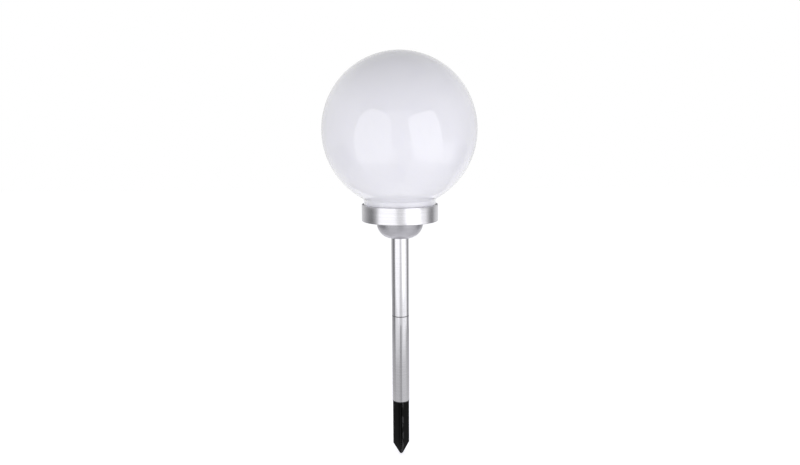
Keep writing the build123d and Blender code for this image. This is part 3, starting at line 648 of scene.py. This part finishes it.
# The round wall by height: how far its levels even out there, and to what level
WALL_ROWS = [
    (FLOOR_HEIGHT, 0.0, 0.0), (0.11, 0.0, 0.0), (0.155, 0.0, 0.0), (0.2, 0.0, 0.0),
    (0.25, 0.75, 0.72), (0.42, 0.85, 0.74), (0.56, 0.9, 0.86), (0.72, 0.9, 0.80),
    (CEILING_HEIGHT, 1.0, 0.48),
]
LOW_WALL = 0.13  # below this height the wall may be turned

WHITE = (1.0, 1.0, 1.0, 1.0)
SKY = (0.985, 0.985, 1.0, 1.0)
FLOOR_GLOW = (0.97, 0.97, 1.0, 1.0)
FLOOR_COLOUR = (0.72, 0.72, 0.72, 1.0)
LAVENDER = (0.84, 0.825, 1.0)

# The photograph's viewpoint: level with the globe, looking a little down
PHOTO_WIDTH = 800
FOCAL_PIXELS = 646
SENSOR_WIDTH = 36.0  # millimetres
CAMERA_DISTANCE = 0.842
CAMERA_HEIGHT = 0.365
CAMERA_TILT = 9.0
CAMERA_ROLL = -0.34


def compass(azimuth, distance, height):
    """Place at an azimuth, a distance and a height."""
    turn = math.radians(azimuth)
    return Vector((distance * math.sin(turn), -distance * math.cos(turn), height))


def ray_is(tree, *kinds):
    """1 for a ray of one of these kinds, and 0 for any other."""
    path = add_node(tree, "ShaderNodeLightPath")
    found = path.outputs[kinds[0]]
    for kind in kinds[1:]:
        inputs = {0: found, 1: path.outputs[kind]}
        found = add_node(tree, "ShaderNodeMath", inputs, operation="MAXIMUM").outputs[0]
    return found


def mixed(tree, factor, first, second):
    """Light that turns from the first to the second as the factor goes from 0 to 1."""
    inputs = {"Fac": factor, 1: first, 2: second}
    return add_node(tree, "ShaderNodeMixShader", inputs).outputs[0]


def make_world(ambient, overhead):
    """White behind everything, a plain ambient light, and a softer ceiling in shine."""
    world = bpy.data.worlds.new("studio")
    bpy.context.scene.world = world
    world.use_nodes = True
    tree = world.node_tree
    where = add_node(tree, "ShaderNodeTexCoord")
    split = add_node(tree, "ShaderNodeSeparateXYZ", {0: where.outputs["Generated"]})
    diffuse, shine = (ambient, 0.82 * ambient), (1.0, overhead)
    shades = []
    for level, top in (diffuse, shine):
        ramp = add_node(tree, "ShaderNodeMapRange", {
            "Value": split.outputs["Z"], "From Min": 0.10, "From Max": 0.60,
            "To Min": level, "To Max": top,
        }, interpolation_type="SMOOTHSTEP")
        inputs = {"Color": SKY, "Strength": ramp.outputs["Result"]}
        shades.append(add_node(tree, "ShaderNodeBackground", inputs).outputs[0])
    white = add_node(tree, "ShaderNodeBackground", {"Color": WHITE}).outputs[0]
    lit = mixed(tree, ray_is(tree, "Is Glossy Ray"), *shades)
    seen = mixed(tree, ray_is(tree, "Is Camera Ray", "Is Transmission Ray"), lit, white)
    tree.links.new(seen, tree.nodes["World Output"].inputs["Surface"])


def sheet(name, rows):
    """Staged sheet through rows of points, with a level at each point."""
    across = len(rows[0])
    faces = [
        (corner, corner + 1, corner + across + 1, corner + across)
        for row in range(len(rows) - 1)
        for corner in range(row * across, (row + 1) * across - 1)
    ]
    mesh = bpy.data.meshes.new(name)
    mesh.from_pydata([tuple(point) for row in rows for point, _ in row], [], faces)
    levels = mesh.attributes.new("level", "FLOAT", "POINT")
    levels.data.foreach_set("value", [level for row in rows for _, level in row])
    made = bpy.data.objects.new(name, mesh)
    bpy.context.scene.collection.objects.link(made)
    return made


def sheet_material(made):
    """New material on a sheet, as its node tree."""
    material = bpy.data.materials.new(made.name)
    material.use_nodes = True
    made.data.materials.append(material)
    return material.node_tree


def make_floor(glow, bounce):
    """Pale floor that shows white but keeps the object's shadow."""
    ends = (-FLOOR_SIZE / 2, FLOOR_SIZE / 2)
    floor = sheet("floor", [[(Vector((x, y, FLOOR_HEIGHT)), 1.0) for x in ends] for y in ends])
    tree = sheet_material(floor)
    shader = tree.nodes["Principled BSDF"]
    shader.inputs["Base Color"].default_value = FLOOR_COLOUR
    shader.inputs["Roughness"].default_value = 0.8
    shader.inputs["Specular IOR Level"].default_value = 0.0
    seen = ray_is(tree, "Is Camera Ray", "Is Glossy Ray", "Is Transmission Ray")
    strength = add_node(tree, "ShaderNodeMix", {"Factor": seen, "A": bounce, "B": glow})
    inputs = {"Color": FLOOR_GLOW, "Strength": strength.outputs["Result"]}
    light = add_node(tree, "ShaderNodeEmission", inputs)
    lit = add_node(tree, "ShaderNodeAddShader", {0: shader.outputs[0], 1: light.outputs[0]})
    tree.links.new(lit.outputs[0], tree.nodes["Material Output"].inputs["Surface"])


def reflector(name, rows):
    """Glowing sheet that only shiny surfaces see, each point with its own strength."""
    made = sheet(name, rows)
    for ray in ("camera", "diffuse", "transmission", "volume_scatter", "shadow"):
        setattr(made, f"visible_{ray}", False)
    tree = sheet_material(made)
    level = add_node(tree, "ShaderNodeAttribute", attribute_name="level")
    light = add_node(tree, "ShaderNodeEmission", {"Strength": level.outputs["Fac"]})
    tree.links.new(light.outputs[0], tree.nodes["Material Output"].inputs["Surface"])


def fade(value, stops):
    """Level between stops of (value, level), in rising order."""
    if value <= stops[0][0]:
        return stops[0][1]
    for (a, low), (b, high) in zip(stops, stops[1:]):
        if value <= b:
            return low + (high - low) * (value - a) / (b - a)
    return stops[-1][1]


def window(name, columns, strength, stops):
    """Tall light in shine: columns of azimuth, foot and head, and its fade by height."""
    steps = 12
    rows = [[] for _ in range(steps + 1)]
    for azimuth, foot, head in columns:
        for row, height in zip(rows, spread(foot, head, steps)):
            place = compass(azimuth, WINDOW_DISTANCE, height)
            row.append((place, strength * fade(height, stops)))
    reflector(name, rows)


def band(name, start, end, distance, stops):
    """Upright sheet between two azimuths: heights with a level, and a lift near its sides."""
    turns = spread(start, end, 2 * max(2, int((end - start) / 4)))
    middle, half, plain = (start + end) / 2, (end - start) / 2, 0.45
    lifts = [max(0.0, abs(turn - middle) / half - plain) / (1 - plain) for turn in turns]
    rows = [
        [(compass(turn, distance, height), level + lift * by) for turn, by in zip(turns, lifts)]
        for height, level, lift in stops
    ]
    reflector(name, rows)


def side_wall(name, stops, low_turn=0.0):
    """Half of the round wall in shine, with levels by azimuth that even out higher up.

    Below LOW_WALL the levels are turned further round, by up to low_turn degrees.
    """
    rows = []
    for height, even, aim in WALL_ROWS:
        row = []
        for azimuth, level in stops:
            turn = low_turn * math.sin(math.radians(azimuth)) ** 2 if height < LOW_WALL else 0.0
            place = compass(azimuth + turn, WALL_DISTANCE, height)
            row.append((place, level + (aim - level) * even))
        rows.append(row)
    reflector(name, rows)


def ceiling(stops, slant):
    """Disc overhead in shine: levels by distance from the axis, rising towards the right."""
    rows = []
    for distance, level in stops:
        places = [compass(turn, distance, CEILING_HEIGHT) for turn in spread(0, 360, 24)]
        rows.append([(place, level + slant * place.x) for place in places])
    reflector("ceiling", rows)


def floor_shine(wedges):
    """Near floor in shine: wedges between two azimuths, with levels by distance."""
    height = FLOOR_HEIGHT + 0.5 * MM
    for number, (start, end, stops) in enumerate(wedges):
        turns = spread(start, end, max(1, int((end - start) / 6)))
        rows = [
            [(compass(turn, distance, height), level) for turn in turns]
            for distance, level in stops
        ]
        reflector(f"floor_shine_{number}", rows)


def softbox(name, start, end, distance, low, radiance):
    """Upright soft light between two azimuths, facing the light's axis, without shine."""
    middle = (start + end) / 2
    light = bpy.data.lights.new(name, "AREA")
    light.shape = "RECTANGLE"
    light.size = 2 * distance * math.tan(math.radians((end - start) / 2))
    light.size_y = BOX_TOP - low
    light.energy = radiance * math.pi * light.size * light.size_y
    light.color = LAVENDER
    lamp = bpy.data.objects.new(name, light)
    bpy.context.scene.collection.objects.link(lamp)
    lamp.location = compass(middle, distance, (low + BOX_TOP) / 2)
    lamp.rotation_euler = (math.pi / 2, 0.0, math.radians(middle))
    lamp.visible_camera = False
    lamp.visible_glossy = False


def make_camera():
    """Camera at the photograph's viewpoint."""
    data = bpy.data.cameras.new("camera")
    data.lens = SENSOR_WIDTH * FOCAL_PIXELS / PHOTO_WIDTH
    data.sensor_width = SENSOR_WIDTH
    data.clip_start = 0.01
    data.clip_end = 50.0
    camera = bpy.data.objects.new("camera", data)
    bpy.context.scene.collection.objects.link(camera)
    camera.location = (0.0, -CAMERA_DISTANCE, CAMERA_HEIGHT)
    pitch = Matrix.Rotation(math.radians(90 - CAMERA_TILT), 3, "X")
    roll = Matrix.Rotation(math.radians(CAMERA_ROLL), 3, "Z")
    camera.rotation_euler = (pitch @ roll).to_euler()
    bpy.context.scene.camera = camera


bpy.context.scene.view_settings.view_transform = "Standard"
make_camera()
make_world(ambient=0.72, overhead=0.55)
make_floor(glow=0.62, bounce=0.36)
softbox("left_box", -70, -13, WINDOW_DISTANCE, FLOOR_HEIGHT, 0.44)
softbox("right_box", 13, 70, WINDOW_DISTANCE, FLOOR_HEIGHT, 0.57)
softbox("back_box", 160, 200, 0.9, 0.0, 0.9)

# The two tall windows: azimuth, foot and head of each column, and levels by height
WINDOW_FADE = [(-0.02, 0.88), (0.03, 0.88), (0.1, 0.90), (0.25, 1.0)]
LEFT_WINDOW = [
    (-67, 0.07, 0.11), (-64, 0.05, 0.18), (-61, 0.04, 0.27), (-59, 0.035, 0.34),
    (-57, 0.03, 0.39), (-53, 0.02, 0.47), (-46, 0.01, 0.54), (-39, 0.0, 0.57),
    (-30, -0.01, 0.56), (-20, -0.02, 0.54), (-16, -0.02, 0.51), (-13, 0.06, 0.49),
    (-11, 0.14, 0.46), (-10, 0.30, 0.42),
]
RIGHT_WINDOW = [
    (11, 0.42, 0.46), (13, 0.34, 0.48), (16, 0.24, 0.50), (20, 0.13, 0.515),
    (25, 0.04, 0.525), (33, 0.03, 0.535), (42, 0.03, 0.55), (47, 0.03, 0.53),
    (52, 0.03, 0.43), (56, 0.045, 0.32), (59, 0.05, 0.25), (63, 0.07, 0.17), (66, 0.10, 0.12),
]
window("left_window", LEFT_WINDOW, 1.8, WINDOW_FADE)
window("right_window", RIGHT_WINDOW, 2.15, WINDOW_FADE)

# The round wall's levels by azimuth, left and right
LEFT_WALL = [
    (-57, 1.3), (-62, 1.2), (-67, 0.95), (-73, 0.62), (-80, 0.36), (-88, 0.25), (-95, 0.27),
    (-108, 0.45), (-133, 0.80), (-150, 0.92), (-164, 0.92), (-172, 0.5), (-180, 0.42),
]
RIGHT_WALL = [
    (57, 1.5), (66, 1.5), (79, 1.45), (86, 0.9), (93, 0.5), (103, 0.30), (110, 0.32),
    (117, 0.60), (124, 0.86), (133, 0.92), (150, 0.95), (164, 0.92), (172, 0.5), (180, 0.42),
]
side_wall("left_side", LEFT_WALL)
side_wall("right_side", RIGHT_WALL, low_turn=4.0)

# The gap between the windows, where the camera stands
band("camera_gap", -17, 17, GAP_DISTANCE,
     [(0.16, 1.07, 0.8), (0.2, 1.1, 0.85), (0.26, 1.05, 0.0), (0.6, 1.1, 0.0)])
band("low_camera_gap", -12, 26, GAP_DISTANCE,
     [(FLOOR_HEIGHT, 0.85, 0.0), (0.1, 1.0, 0.8), (0.16, 1.02, 0.85)])

# A dark slat close before the lower pole darkens its middle line, and a dark panel at the
# back darkens the ring's lip
band("pole_slat", -9, 15, 0.055,
     [(FLOOR_HEIGHT, 0.55, 0.25), (0.0, 0.48, 0.3), (0.06, 0.42, 0.4), (0.095, 0.50, 0.5)])
band("back_panel", 169, 191, 0.59, [(0.305, 0.05, 0.0), (0.37, 0.05, 0.0)])

# Levels by distance: overhead, and on each wedge of the near floor between two azimuths
CEILING = [(0.0, 0.13), (0.2, 0.15), (0.3, 0.24), (0.45, 0.42), (0.6, 0.50), (0.8, 0.6), (1.6, 0.6)]
ceiling(CEILING, slant=0.15)
FLOOR_WEDGES = [
    (-17, 17, [(0.0, 1.15), (0.07, 1.0), (0.13, 0.80), (0.2, 0.58), (0.33, 0.52), (0.5, 0.8)]),
    (17, 70, [(0.0, 1.15), (0.07, 1.0), (0.14, 0.82), (0.24, 0.84), (0.36, 0.86), (0.45, 1.05),
              (0.57, 1.35), (0.7, 1.4), (1.2, 1.2)]),
    (-70, -17, [(0.0, 1.15), (0.07, 1.0), (0.14, 0.74), (0.24, 0.70), (0.36, 0.74), (0.45, 0.98),
                (0.57, 1.12), (0.7, 1.15), (1.2, 1.1)]),
    (70, 92, [(0.0, 1.15), (0.08, 1.05), (0.15, 0.80), (0.25, 0.76), (0.5, 0.70), (0.6, 0.60)]),
    (92, 122, [(0.0, 1.15), (0.08, 1.1), (0.15, 0.78), (0.25, 0.66), (0.5, 0.58), (0.6, 0.50)]),
    (122, 150, [(0.0, 1.15), (0.08, 1.1), (0.15, 0.90), (0.25, 0.75), (0.5, 0.65), (0.6, 0.5)]),
    (-100, -70, [(0.0, 1.15), (0.08, 1.05), (0.15, 0.70), (0.25, 0.58), (0.5, 0.47), (0.6, 0.36)]),
    (-142, -100, [(0.0, 1.15), (0.08, 1.1), (0.15, 0.85), (0.25, 0.66), (0.5, 0.58), (0.6, 0.45)]),
]
floor_shine(FLOOR_WEDGES)
